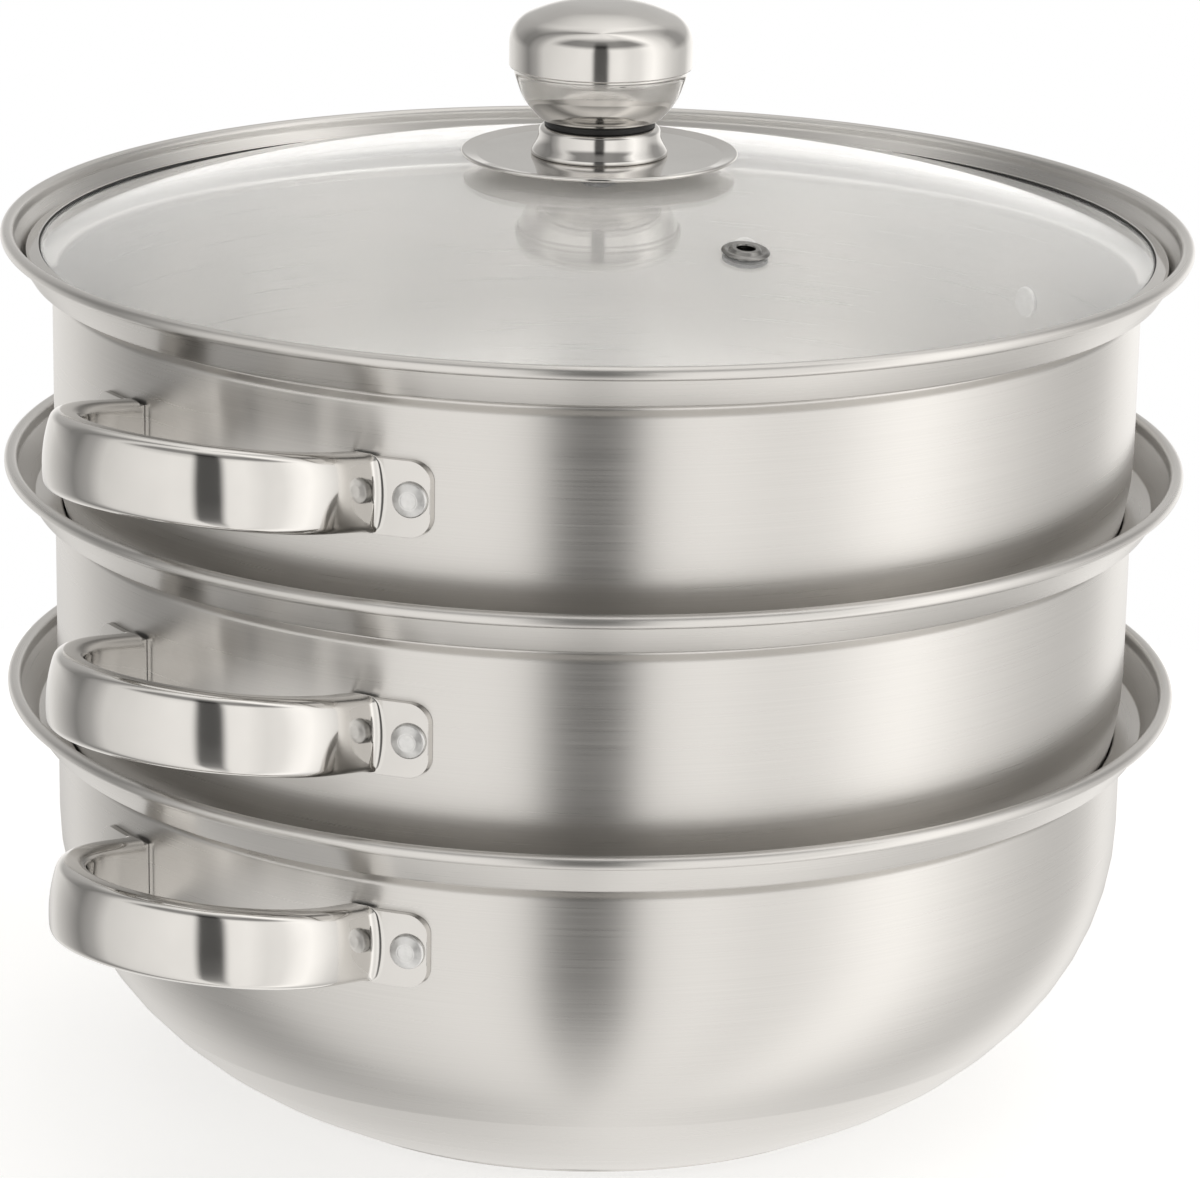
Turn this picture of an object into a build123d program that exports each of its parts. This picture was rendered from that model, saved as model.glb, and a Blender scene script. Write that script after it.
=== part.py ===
from build123d import *
import math
import os

# A three tier steamer pot: a round bottomed pot, two stacking steamer trays and a domed glass lid.
# All sizes are in millimetres. The origin is the centre of the base on the ground, +Z is up, and
# the handles lie along X.

# Sheet walls shared by the pot and both trays
sheet_thickness = 0.6
body_radius = 140.0
pot_height = 109.0
tier_pitch = 59.5
fastened_gap = 0.1
seat_gap = 0.3

# Rolled rim, flare, ledge and bead at the top of each vessel, as depths below the rim's top
rim_reach = 13.0
roll_width = 3.4
roll_top_flat = 0.2
roll_side_flat = 0.2
roll_end_run = 0.5
flare_top_depth = 3.4
flare_top_bend_radius = 2.0
flare_foot_reach = 5.3
flare_foot_depth = 10.9
flare_foot_bend_radius = 1.2
ledge_fall = 2.1
bead_inset = 2.32
bead_bend_radius = 0.9
bead_return_depth = 2.2
bead_end_bend_radius = 1.5

# Round bowl of the pot and its base
bowl_height = 72.7
bowl_upper_angle = 40.0
bowl_lower_angle = 64.0
bowl_foot_run = 3.56
base_edge_bend_radius = 6.0
base_margin = 0.24
base_setback = 54.0
base_cap_thickness = 0.5
base_cap_bend_radius = 0.8
base_core_thickness = 1.1

# Lower wall and perforated floor of a steamer tray
tray_depth = 84.3
tray_arc_radius = 75.0
tray_wall_angle = 17.0
tray_corner_radius = 12.0
steam_hole_radius = 3.0
steam_hole_pitch = 15.0
steam_hole_margin = 12.0

# Loop handles, riveted to the wall by a tab at each end
handle_loop_radius = 41.0
handle_loop_reach = 7.0
handle_root_sink = 2.0
handle_tilt_angle = 10.0
handle_bar_width = 8.6
handle_bar_height = 19.0
handle_bar_corner_radius = 2.8
handle_bar_crown = 1.25
handle_bar_wall = 1.0
tray_handle_depth = 37.1
pot_handle_depth = 30.9
tab_thickness = 1.5
tab_height = 18.7
tab_end_margin = 5.1
tab_corner_radius = 5.0
rivet_reach = 7.1
rivet_head_radius = 4.45
rivet_head_height = 1.7
rivet_head_edge = 0.6
rivet_shank_radius = 2.4
rivet_tail_radius = 4.2
rivet_tail_height = 1.1

# Glass dome of the lid
glass_inset = 0.9
glass_rise = 21.6
glass_thickness = 3.0
glass_edge_bevel = 0.6

# Folded steel band and gasket round the edge of the glass
band_thickness = 0.5
band_flank = 2.0
band_bend_radius = 0.6
band_lap = 1.1
band_foot_clearance = 0.2
band_slack = 0.67
gasket_thickness = 0.3
gasket_bend_radius = 0.35
gasket_show = 0.4

# Steam vent through the glass
vent_distance = 81.2
vent_direction_angle = 244.0
vent_clearance = 0.35
eyelet_thickness = 0.4
eyelet_bore_radius = 2.25
eyelet_height = 1.5
eyelet_groove_reach = 1.95
eyelet_groove_depth = 0.9
eyelet_bead_width = 1.0
eyelet_bead_drop = 0.4
eyelet_edge_width = 0.95
eyelet_edge_drop = 1.0
eyelet_tail_reach = 2.35
eyelet_bend_radius = 0.35
vent_seal_lap = 2.6
vent_seal_thickness = 0.8

# Knob stack on the screw through the centre of the glass
screw_radius = 2.5
screw_head_reach = 2.3
screw_head_height = 2.8
screw_clearance = 0.1
glass_hole_clearance = 1.5
seal_washer_lap = 5.0
seal_washer_thickness = 1.0
screw_washer_inset = 1.0
screw_washer_thickness = 1.0
cushion_lap = 8.0
cushion_thickness = 1.2
knob_sheet = 1.0
skirt_radius = 35.5
skirt_lip_width = 4.0
skirt_lip_rise = 0.9
skirt_bend_radius = 3.0
neck_foot_radius = 17.6
neck_foot_height = 0.8
neck_foot_bend_radius = 1.0
neck_cone_inset = 1.7
neck_cone_height = 2.6
neck_waist_inset = 0.4
neck_waist_height = 3.9
neck_waist_bend_radius = 7.0
spacer_inset = 1.3
spacer_thickness = 1.6
bowl_foot_lap = 1.2
bowl_foot_bend_radius = 2.0
bowl_belly_reach = 4.3
bowl_belly_height = 5.0
bowl_belly_bend_radius = 14.0
bowl_brim_reach = 2.6
bowl_brim_height = 7.4
bowl_brim_bend_radius = 5.0
bowl_lap = 3.0
cap_clearance = 0.2
cap_edge_rise = 1.2
cap_wall_height = 11.0
cap_shoulder_bend_radius = 7.5
cap_crown_inset = 12.5
cap_crown_height = 5.4
cap_crown_bend_radius = 26.0
insert_radius = 6.0
insert_bore_reach = 10.0
insert_top_thickness = 2.0

# Overrun of every cutting tool past the surface that it cuts
cut_overrun = 2.0

# Sizes that follow from those above
half_sheet = sheet_thickness / 2
wall_line = body_radius - half_sheet
base_height = base_cap_thickness + base_core_thickness
middle_rim_height = pot_height + tier_pitch
top_rim_height = middle_rim_height + tier_pitch
rim_radius = body_radius + rim_reach
flare_foot_radius = body_radius + flare_foot_reach
base_radius = body_radius - base_setback
roll_bend_radius = (roll_width - sheet_thickness - roll_top_flat) / 2
roll_depth = sheet_thickness + 2 * roll_bend_radius + roll_side_flat
bead_depth = flare_foot_depth + ledge_fall
bead_end_depth = bead_depth + bead_return_depth
handle_loop_distance = body_radius + handle_loop_reach
handle_root_distance = math.sqrt(body_radius**2 - handle_loop_radius**2) - handle_root_sink
rivet_half_span = handle_loop_radius + rivet_reach
tab_half_span = rivet_half_span + tab_end_margin
glass_edge_radius = flare_foot_radius - glass_inset
dome_radius = (glass_edge_radius**2 + glass_rise**2) / (2 * glass_rise)
gasket_radius = glass_edge_radius + fastened_gap + gasket_thickness
band_radius = gasket_radius + band_flank
band_foot_radius = gasket_radius + band_foot_clearance
band_inner_radius = glass_edge_radius - band_lap
gasket_inner_radius = band_inner_radius - gasket_show
vent_hole_radius = eyelet_bore_radius + eyelet_thickness + vent_clearance
vent_seal_radius = vent_hole_radius + vent_seal_lap
screw_hole_radius = screw_radius + screw_clearance
glass_hole_radius = screw_radius + glass_hole_clearance
seal_washer_radius = glass_hole_radius + seal_washer_lap
screw_washer_radius = seal_washer_radius - screw_washer_inset
cushion_radius = glass_hole_radius + cushion_lap
neck_height = neck_foot_height + neck_cone_height + neck_waist_height
neck_waist_radius = neck_foot_radius - neck_cone_inset
neck_top_radius = neck_waist_radius - neck_waist_inset
spacer_radius = neck_top_radius - spacer_inset
bowl_foot_radius = spacer_radius + bowl_foot_lap
bowl_belly_radius = bowl_foot_radius + bowl_belly_reach
bowl_brim_radius = bowl_belly_radius + bowl_brim_reach
cap_radius = bowl_brim_radius + knob_sheet + cap_clearance


# Shapes used by several pieces


def bend_reach(bend_radius, turn_angle):
    """Length that a bend takes from each of the two straight runs beside it."""
    return bend_radius * math.tan(math.radians(turn_angle) / 2)


def run_down(start, length, angle):
    """End of a straight run that leads inward and down, at an angle from the vertical."""
    across = length * math.sin(math.radians(angle))
    down = length * math.cos(math.radians(angle))
    return (start[0] - across, start[1] - down)


def side_corners(corners, distance):
    """Corners of the line that runs beside a line of corners, at a distance to its left."""
    runs = [(end - start).normalized() for start, end in zip(corners, corners[1:])]
    sides = [Vector(-run.Y, run.X) for run in runs]
    places = [corners[0] + sides[0] * distance]
    for corner, before, after in zip(corners[1:], sides, sides[1:]):
        places.append(corner + (before + after) * (distance / (1 + before.dot(after))))
    places.append(corners[-1] + sides[-1] * distance)
    return places


def sheet_section(line, bend_radii, thickness):
    """Outline of a bent sheet, from the corners and bend radii of its mid line."""
    corners = [Vector(*place) for place in line]
    turns = []
    for before, corner, after in zip(corners, corners[1:], corners[2:]):
        turns.append(math.copysign(1, (corner - before).cross(after - corner).Z))
    edges = []
    ends = []
    for side in (1, -1):
        places = side_corners(corners, side * thickness / 2)
        radii = [bend - side * turn * thickness / 2 for bend, turn in zip(bend_radii, turns)]
        edges += FilletPolyline(*places, radius=[max(radius, 0) for radius in radii]).edges()
        ends.append((places[0], places[-1]))
    edges += [Line(ends[0][0], ends[1][0]), Line(ends[0][1], ends[1][1])]
    return make_face(edges)


def turned(section):
    """Solid made by turning a section of radii and heights about the upright axis."""
    return revolve(Plane.XZ * section, axis=Axis.Z)


def disc(radius, thickness, hole_radius, bottom):
    """Flat round washer with its underside at a height."""
    ring = Circle(radius) - Circle(hole_radius)
    return Pos(0, 0, bottom) * extrude(ring, amount=thickness)


def radial_plane(angle, distance, height):
    """Plane that faces outward from the upright axis, in a direction around it."""
    outward = Vector(math.cos(math.radians(angle)), math.sin(math.radians(angle)), 0)
    origin = outward * distance + Vector(0, 0, height)
    return Plane(origin=origin, x_dir=(0, 0, 1), z_dir=outward)


# Pot and trays


def rim_line():
    """Mid line of a vessel's rim, from the free end of the roll down to the straight wall."""
    roll_outside = rim_radius - half_sheet
    roll_inside = rim_radius - roll_width + half_sheet
    roll_foot = half_sheet - roll_depth
    return [
        (roll_outside - roll_bend_radius - roll_end_run, roll_foot),
        (roll_outside, roll_foot),
        (roll_outside, -half_sheet),
        (roll_inside, -half_sheet),
        (roll_inside, -flare_top_depth),
        (flare_foot_radius, -flare_foot_depth),
        (wall_line - bead_inset, -bead_depth),
        (wall_line, -bead_end_depth),
    ]


rim_bend_radii = [
    roll_bend_radius,
    roll_bend_radius,
    roll_bend_radius,
    flare_top_bend_radius,
    flare_foot_bend_radius,
    bead_bend_radius,
    bead_end_bend_radius,
]


def bead_centre():
    """Centre of the bead's bend, outside the wall, as a radius and a height below the rim."""
    before, corner, after = [Vector(*place) for place in rim_line()[-3:]]
    back = (before - corner).normalized()
    ahead = (after - corner).normalized()
    half_angle = back.get_angle(ahead) / 2
    centre_distance = bead_bend_radius / math.sin(math.radians(half_angle))
    return corner + (back + ahead).normalized() * centre_distance


def vessel(lower_line, lower_bend_radii, rim_height):
    """Shell of one vessel, from its rim down to the middle of its floor."""
    line = rim_line() + lower_line
    section = sheet_section(line, rim_bend_radii + lower_bend_radii, sheet_thickness)
    return Pos(0, 0, rim_height) * turned(section)


def bowl_bends():
    """Mid line bend radii of the bowl's two arcs, which lead from the wall down to the floor."""
    upper = math.radians(bowl_upper_angle)
    lower = math.radians(bowl_lower_angle)
    across = wall_line - base_radius - base_margin
    across -= bowl_foot_run * math.sin(lower) + base_edge_bend_radius * math.cos(lower)
    down = bowl_height - base_height - half_sheet
    down -= bowl_foot_run * math.cos(lower) + base_edge_bend_radius * (1 - math.sin(lower))
    upper_across, upper_down = 1 - math.cos(upper), math.sin(upper)
    lower_across = math.cos(upper) - math.cos(lower)
    lower_down = math.sin(lower) - math.sin(upper)
    both = upper_down * lower_across - upper_across * lower_down
    upper_bend = (down * lower_across - across * lower_down) / both
    lower_bend = (across * upper_down - down * upper_across) / both
    return [upper_bend, lower_bend]


def pot_line():
    """Mid line of the pot's bowl, from the straight wall down to the middle of its floor."""
    upper_bend, lower_bend = bowl_bends()
    upper_reach = bend_reach(upper_bend, bowl_upper_angle)
    lower_reach = bend_reach(lower_bend, bowl_lower_angle - bowl_upper_angle)
    edge_reach = bend_reach(base_edge_bend_radius, 90 - bowl_lower_angle)
    upper_corner = (wall_line, bowl_height - pot_height - upper_reach)
    lower_corner = run_down(upper_corner, upper_reach + lower_reach, bowl_upper_angle)
    last_run = lower_reach + bowl_foot_run + edge_reach
    floor_corner = run_down(lower_corner, last_run, bowl_lower_angle)
    return [upper_corner, lower_corner, floor_corner, (0, floor_corner[1])]


def pot_shell():
    return vessel(pot_line(), bowl_bends() + [base_edge_bend_radius], pot_height)


def tray_arc_depth():
    """Depth where a tray's wall starts to curve in, so that it seats on the bead below."""
    bead = bead_centre()
    bead_height = bead.Y - tier_pitch
    reach = tray_arc_radius + bead_bend_radius + half_sheet + seat_gap
    across = bead.X - body_radius + tray_arc_radius
    return -bead_height - math.sqrt(reach**2 - across**2)


def tray_line():
    """Mid line of a tray's lower wall and floor."""
    arc_bend = tray_arc_radius - half_sheet
    floor = half_sheet - tray_depth
    wall_corner = (wall_line, -tray_arc_depth() - bend_reach(arc_bend, tray_wall_angle))
    wall_run = (wall_corner[1] - floor) / math.cos(math.radians(tray_wall_angle))
    return [wall_corner, run_down(wall_corner, wall_run, tray_wall_angle), (0, floor)]


def steam_holes():
    """Cutters for rings of steam holes in a tray's floor."""
    floor_edge = tray_line()[1][0] - bend_reach(tray_corner_radius, 90 - tray_wall_angle)
    ring_count = int((floor_edge - steam_hole_margin) / steam_hole_pitch)
    places = [(0, 0)]
    for ring in range(1, ring_count + 1):
        for step in range(6 * ring):
            turn = math.radians(360 * step / (6 * ring))
            distance = ring * steam_hole_pitch
            places.append((distance * math.cos(turn), distance * math.sin(turn)))
    circles = Locations(*places).locations
    depth = sheet_thickness + 2 * cut_overrun
    return [place * Cylinder(steam_hole_radius, depth) for place in circles]


def tray_shell():
    """Shell of a steamer tray with its rim's top at height zero."""
    bends = [tray_arc_radius - half_sheet, tray_corner_radius]
    shell = vessel(tray_line(), bends, 0)
    floor = half_sheet - tray_depth
    return shell - [Pos(0, 0, floor) * hole for hole in steam_holes()]


def with_rivet_holes(shell, handle_height):
    """Shell with a hole for each of its four rivets."""
    return shell - rivet_hole_cutters(handle_height)


# Base of the pot


def base_core():
    radius = base_radius - base_cap_thickness - base_cap_bend_radius
    return Pos(0, 0, base_cap_thickness) * extrude(Circle(radius), amount=base_core_thickness)


def base_cap():
    half_cap = base_cap_thickness / 2
    wall = base_radius - half_cap
    lip_top = base_height - fastened_gap
    line = [(0, half_cap), (wall, half_cap), (wall, lip_top)]
    return turned(sheet_section(line, [base_cap_bend_radius], base_cap_thickness))


# Handles and rivets


def rivet_angles():
    """Directions of the four rivets of a vessel."""
    offset = math.degrees(math.asin(rivet_half_span / body_radius))
    return [side + sign * offset for side in (0, 180) for sign in (1, -1)]


def rivet_hole_cutters(height):
    hole_radius = rivet_shank_radius + fastened_gap
    depth = 2 * (tab_thickness + sheet_thickness + cut_overrun)
    cutter = Cylinder(hole_radius, depth)
    return [radial_plane(angle, body_radius, height) * cutter for angle in rivet_angles()]


def bar_section():
    """Outline of the handle's bar: flat inside, crowned outside, with round corners."""
    half_width = handle_bar_width / 2
    half_height = handle_bar_height / 2
    side = half_width - handle_bar_crown
    crest = ThreePointArc((side, -half_height), (half_width, 0), (side, half_height))
    back = Polyline((side, half_height), (-half_width, half_height), (-half_width, -half_height))
    foot = Line((-half_width, -half_height), (side, -half_height))
    outline = make_face([crest] + back.edges() + [foot])
    return fillet(outline.vertices(), handle_bar_corner_radius)


def handle(height):
    """Hollow loop handle on the +X side with its two riveting tabs."""
    tilt = math.radians(handle_tilt_angle)
    along = Vector(math.cos(tilt), 0, math.sin(tilt))
    slope = Plane((handle_root_distance, 0, height), x_dir=along, z_dir=along.cross(Vector(0, 1, 0)))
    leg_place = handle_loop_radius - handle_bar_width / 2
    leg_length = (handle_loop_distance - handle_root_distance) / math.cos(tilt)
    loop = ThreePointArc((leg_length, leg_place), (leg_length + leg_place, 0), (leg_length, -leg_place))
    near_leg = Line((0, leg_place), (leg_length, leg_place))
    far_leg = Line((leg_length, -leg_place), (0, -leg_place))
    path = slope * Wire([near_leg, loop, far_leg])
    start = Plane(path @ 0, x_dir=(0, 1, 0), z_dir=along)
    outline = bar_section()
    bar = sweep(start * outline, path=path)
    cavity = sweep(start * offset(outline, -handle_bar_wall), path=path)

    wall_radius = body_radius + fastened_gap
    tab_radius = wall_radius + tab_thickness
    tabs = Rectangle(2 * tab_half_span, tab_height)
    tabs = fillet(tabs.vertices(), tab_corner_radius)
    tabs -= Rectangle(2 * leg_place, tab_height + cut_overrun)
    upright = Plane((0, 0, height), x_dir=(0, 1, 0), z_dir=(1, 0, 0))
    plate = extrude(upright * tabs, amount=tab_radius)
    tube_height = tab_height + 2 * cut_overrun
    plate &= Pos(0, 0, height) * Cylinder(tab_radius, tube_height)
    body_height = 4 * handle_bar_height
    body = Pos(0, 0, height) * Cylinder(wall_radius, body_height)
    solid = bar + plate - cavity - body
    solid -= rivet_hole_cutters(height)[:2]
    return solid.solids().sort_by(SortBy.VOLUME)[-1]


def rivets(height):
    """Four rivets that hold a vessel's two handles, as separate solids."""
    head_seat = body_radius + fastened_gap + tab_thickness
    head_top = head_seat + rivet_head_height
    inner_wall = body_radius - sheet_thickness
    tail_seat = math.sqrt(inner_wall**2 - rivet_tail_radius**2) - fastened_gap
    tail_top = tail_seat - rivet_tail_height
    edge_top = head_seat + rivet_head_edge
    tail = Polyline(
        (0, tail_top),
        (rivet_tail_radius, tail_top),
        (rivet_tail_radius, tail_seat),
        (rivet_shank_radius, tail_seat),
        (rivet_shank_radius, head_seat),
        (rivet_head_radius, head_seat),
        (rivet_head_radius, edge_top),
    )
    dome_sag = head_top - edge_top
    dome = (rivet_head_radius**2 + dome_sag**2) / (2 * dome_sag)
    half_reach = rivet_head_radius / 2
    half_height = head_top - dome + math.sqrt(dome**2 - half_reach**2)
    crown = ThreePointArc((rivet_head_radius, edge_top), (half_reach, half_height), (0, head_top))
    section = make_face(tail.edges() + [crown, Line((0, head_top), (0, tail_top))])
    rivet = turned(section)
    return Compound([radial_plane(angle, 0, height) * rivet for angle in rivet_angles()])


# Lid, with heights above the top tray's rim


def ledge_height(radius):
    """Height of the upper face of a vessel's ledge, at a radius."""
    foot, bead = rim_line()[-3:-1]
    slope = (foot[1] - bead[1]) / (foot[0] - bead[0])
    return foot[1] + (radius - foot[0]) * slope + half_sheet * math.hypot(1, slope)


lid_edge_build = glass_thickness + band_thickness + gasket_thickness + 2 * fastened_gap + band_slack
glass_edge_height = ledge_height(band_foot_radius) + seat_gap + lid_edge_build
glass_apex_height = glass_edge_height + glass_rise


def dome_height(radius, depth):
    """Height over the top rim of a point in the glass, at a depth below its upper face."""
    return glass_apex_height - dome_radius + math.sqrt((dome_radius - depth) ** 2 - radius**2)


def dome_arc(inner, outer, depth):
    """Arc along the glass, at a depth below its upper face."""
    middle = (inner + outer) / 2
    return ThreePointArc(
        (inner, dome_height(inner, depth)),
        (middle, dome_height(middle, depth)),
        (outer, dome_height(outer, depth)),
    )


def vent_plane():
    """Plane on the upper face of the glass at the steam vent, facing straight out of the glass."""
    direction = math.radians(vent_direction_angle)
    place = Vector(math.cos(direction), math.sin(direction), 0) * vent_distance
    place += Vector(0, 0, dome_height(vent_distance, 0))
    centre = Vector(0, 0, glass_apex_height - dome_radius)
    return Plane(place, x_dir=(0, 0, 1), z_dir=(place - centre).normalized())


def lid_glass():
    upper = dome_arc(glass_hole_radius, glass_edge_radius, 0)
    lower = dome_arc(glass_hole_radius, glass_edge_radius, glass_thickness)
    outline = make_face([upper, lower, Line(upper @ 1, lower @ 1), Line(upper @ 0, lower @ 0)])
    rim_corners = outline.vertices().sort_by(Axis.X)[-2:]
    glass = turned(chamfer(rim_corners, glass_edge_bevel))
    cutter_depth = 2 * (glass_thickness + cut_overrun)
    return glass - vent_plane() * Cylinder(vent_hole_radius, cutter_depth)


def beside_glass(radius, depth, distance):
    """Place beside a face of the glass, at a distance out from it."""
    return (radius, dome_height(radius, depth) + distance)


def lid_rim_gasket():
    away = fastened_gap + gasket_thickness / 2
    edge = glass_edge_radius + away
    line = [
        beside_glass(gasket_inner_radius, 0, away),
        beside_glass(edge, 0, away),
        beside_glass(edge, glass_thickness, -away),
        beside_glass(gasket_inner_radius, glass_thickness, -away),
    ]
    return turned(sheet_section(line, [gasket_bend_radius, gasket_bend_radius], gasket_thickness))


def lid_rim_band():
    away = 2 * fastened_gap + gasket_thickness + band_thickness / 2
    shoulder = band_radius - band_thickness / 2
    foot_height = ledge_height(band_foot_radius) + seat_gap + band_thickness / 2
    foot_rise = dome_height(band_inner_radius, 0) - dome_height(band_foot_radius, 0)
    line = [
        beside_glass(band_inner_radius, 0, away),
        beside_glass(shoulder, 0, away),
        (band_foot_radius, foot_height),
        (band_inner_radius, foot_height + foot_rise),
    ]
    return turned(sheet_section(line, [band_bend_radius, band_bend_radius], band_thickness))


def vent_eyelet():
    bore_line = eyelet_bore_radius + eyelet_thickness / 2
    half = eyelet_thickness / 2
    tail = -glass_thickness - vent_seal_thickness - 2 * fastened_gap - half
    top = eyelet_height - half
    groove = eyelet_bore_radius + eyelet_groove_reach
    bead = groove + eyelet_bead_width
    line = [
        (eyelet_bore_radius + eyelet_tail_reach, tail),
        (bore_line, tail),
        (bore_line, top),
        ((bore_line + groove) / 2, top),
        (groove, top - eyelet_groove_depth),
        (bead, top - eyelet_bead_drop),
        (bead + eyelet_edge_width - half, top - eyelet_edge_drop),
    ]
    section = sheet_section(line, [eyelet_bend_radius] * 5, eyelet_thickness)
    return vent_plane() * turned(section)


def vent_seal():
    bottom = -glass_thickness - vent_seal_thickness - fastened_gap
    return vent_plane() * disc(vent_seal_radius, vent_seal_thickness, vent_hole_radius, bottom)


# Knob on the lid, with heights above the top tray's rim


cushion_bottom = glass_apex_height
skirt_bottom = cushion_bottom + cushion_thickness
neck_bottom = skirt_bottom + knob_sheet
spacer_bottom = neck_bottom + neck_height
bowl_bottom = spacer_bottom + spacer_thickness
seal_bottom = dome_height(seal_washer_radius, glass_thickness) - fastened_gap - seal_washer_thickness
washer_bottom = seal_bottom - screw_washer_thickness
half_knob_sheet = knob_sheet / 2
belly_height = bowl_bottom + bowl_belly_height
brim_height = belly_height + bowl_brim_height
cap_edge_height = brim_height + cap_edge_rise
shoulder_height = cap_edge_height + cap_wall_height


def cushion_washer():
    return disc(cushion_radius, cushion_thickness, screw_hole_radius, cushion_bottom)


def seal_washer():
    return disc(seal_washer_radius, seal_washer_thickness, screw_hole_radius, seal_bottom)


def screw_washer():
    return disc(screw_washer_radius, screw_washer_thickness, screw_hole_radius, washer_bottom)


def knob_skirt():
    middle = skirt_bottom + half_knob_sheet
    line = [
        (screw_hole_radius, middle),
        (skirt_radius - skirt_lip_width, middle),
        (skirt_radius, middle + skirt_lip_rise),
    ]
    return turned(sheet_section(line, [skirt_bend_radius], knob_sheet))


def knob_neck():
    top = spacer_bottom - half_knob_sheet
    line = [
        (neck_foot_radius - half_knob_sheet, neck_bottom),
        (neck_foot_radius - half_knob_sheet, neck_bottom + neck_foot_height),
        (neck_waist_radius - half_knob_sheet, top + half_knob_sheet - neck_waist_height),
        (neck_top_radius - half_knob_sheet, top),
        (screw_hole_radius, top),
    ]
    bends = [neck_foot_bend_radius, neck_waist_bend_radius, knob_sheet]
    return turned(sheet_section(line, bends, knob_sheet))


def knob_spacer():
    return disc(spacer_radius, spacer_thickness, screw_hole_radius, spacer_bottom)


def knob_bowl():
    middle = bowl_bottom + half_knob_sheet
    brim = bowl_brim_radius - half_knob_sheet
    line = [
        (screw_hole_radius, middle),
        (bowl_foot_radius - half_knob_sheet, middle),
        (bowl_belly_radius - half_knob_sheet, belly_height),
        (brim, brim_height),
        (brim, cap_edge_height + bowl_lap),
    ]
    bends = [bowl_foot_bend_radius, bowl_belly_bend_radius, bowl_brim_bend_radius]
    return turned(sheet_section(line, bends, knob_sheet))


def knob_cap():
    wall = cap_radius - half_knob_sheet
    crown = shoulder_height + cap_crown_height - half_knob_sheet
    line = [
        (wall, cap_edge_height),
        (wall, shoulder_height),
        (cap_radius - cap_crown_inset, crown),
        (0, crown),
    ]
    bends = [cap_shoulder_bend_radius, cap_crown_bend_radius]
    return turned(sheet_section(line, bends, knob_sheet))


def knob_insert():
    bottom = bowl_bottom + knob_sheet
    height = insert_bore_reach + insert_top_thickness
    boss = Pos(0, 0, bottom) * extrude(Circle(insert_radius), amount=height)
    bore = extrude(Circle(screw_hole_radius), amount=insert_bore_reach + screw_clearance)
    return boss - Pos(0, 0, bottom) * bore


def knob_screw():
    head_bottom = washer_bottom - screw_head_height
    head_radius = screw_radius + screw_head_reach
    head = Pos(0, 0, head_bottom) * extrude(Circle(head_radius), amount=screw_head_height)
    head = fillet(head.faces().sort_by(Axis.Z)[0].edges(), screw_head_height / 2)
    reach = bowl_bottom + knob_sheet + insert_bore_reach - head_bottom
    shank = Pos(0, 0, head_bottom) * extrude(Circle(screw_radius), amount=reach)
    return head + shank


# Whole steamer


def handled_vessel(prefix, shell, rim_height, handle_depth):
    """A vessel's shell with its rivet holes, its two handles and its rivets, by node name."""
    height = rim_height - handle_depth
    right = handle(height)
    return {
        prefix + "_shell": with_rivet_holes(shell, height),
        prefix + "_handle_right": right,
        prefix + "_handle_left": right.rotate(Axis.Z, 180),
        prefix + "_rivets": rivets(height),
    }


tray = tray_shell()
nodes = handled_vessel("pot", pot_shell(), pot_height, pot_handle_depth)
nodes["base_core"] = base_core()
nodes["base_cap"] = base_cap()
for name, rim_height in (("middle_tray", middle_rim_height), ("top_tray", top_rim_height)):
    nodes |= handled_vessel(name, Pos(0, 0, rim_height) * tray, rim_height, tray_handle_depth)

lid_pieces = {
    "lid_glass": lid_glass(),
    "lid_rim_band": lid_rim_band(),
    "lid_rim_gasket": lid_rim_gasket(),
    "vent_eyelet": vent_eyelet(),
    "vent_seal": vent_seal(),
    "cushion_washer": cushion_washer(),
    "seal_washer": seal_washer(),
    "screw_washer": screw_washer(),
    "knob_skirt": knob_skirt(),
    "knob_neck": knob_neck(),
    "knob_spacer": knob_spacer(),
    "knob_bowl": knob_bowl(),
    "knob_cap": knob_cap(),
    "knob_insert": knob_insert(),
    "knob_screw": knob_screw(),
}
nodes |= {name: Pos(0, 0, top_rim_height) * piece for name, piece in lid_pieces.items()}

os.makedirs("parts", exist_ok=True)
for name, piece in nodes.items():
    export_step(piece, f"parts/{name}.step")
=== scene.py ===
import math

import bmesh
import bpy
from mathutils import Matrix, Vector


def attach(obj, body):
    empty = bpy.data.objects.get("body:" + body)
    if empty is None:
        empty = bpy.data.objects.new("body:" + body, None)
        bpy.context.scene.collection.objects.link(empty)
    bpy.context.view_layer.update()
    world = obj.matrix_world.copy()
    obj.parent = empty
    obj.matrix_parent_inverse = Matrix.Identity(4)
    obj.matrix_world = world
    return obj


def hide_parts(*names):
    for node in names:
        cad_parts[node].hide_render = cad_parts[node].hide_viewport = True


# A three tier steamer pot in satin and polished stainless steel, under a clear glass lid.
# Lengths that follow a real size are written in millimetres and multiplied by MM.

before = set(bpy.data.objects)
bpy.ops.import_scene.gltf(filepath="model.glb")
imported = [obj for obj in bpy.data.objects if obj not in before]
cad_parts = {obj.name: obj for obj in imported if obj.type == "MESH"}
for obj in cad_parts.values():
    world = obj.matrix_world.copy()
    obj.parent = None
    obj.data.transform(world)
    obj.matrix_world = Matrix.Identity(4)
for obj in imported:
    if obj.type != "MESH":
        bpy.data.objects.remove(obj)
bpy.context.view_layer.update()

MM = 0.001
# Steps round a turned vessel, and the most that a round bend turns in one step
AROUND = 320
BEND_STEP = math.radians(7)
# Turn below which a corner has no bend, and radius below which a point is on the axis
STRAIGHT = math.radians(0.5)
ON_AXIS = 1e-6
# Angle over which an edge shows as sharp, in degrees
SHARP_ANGLE = 32

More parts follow.
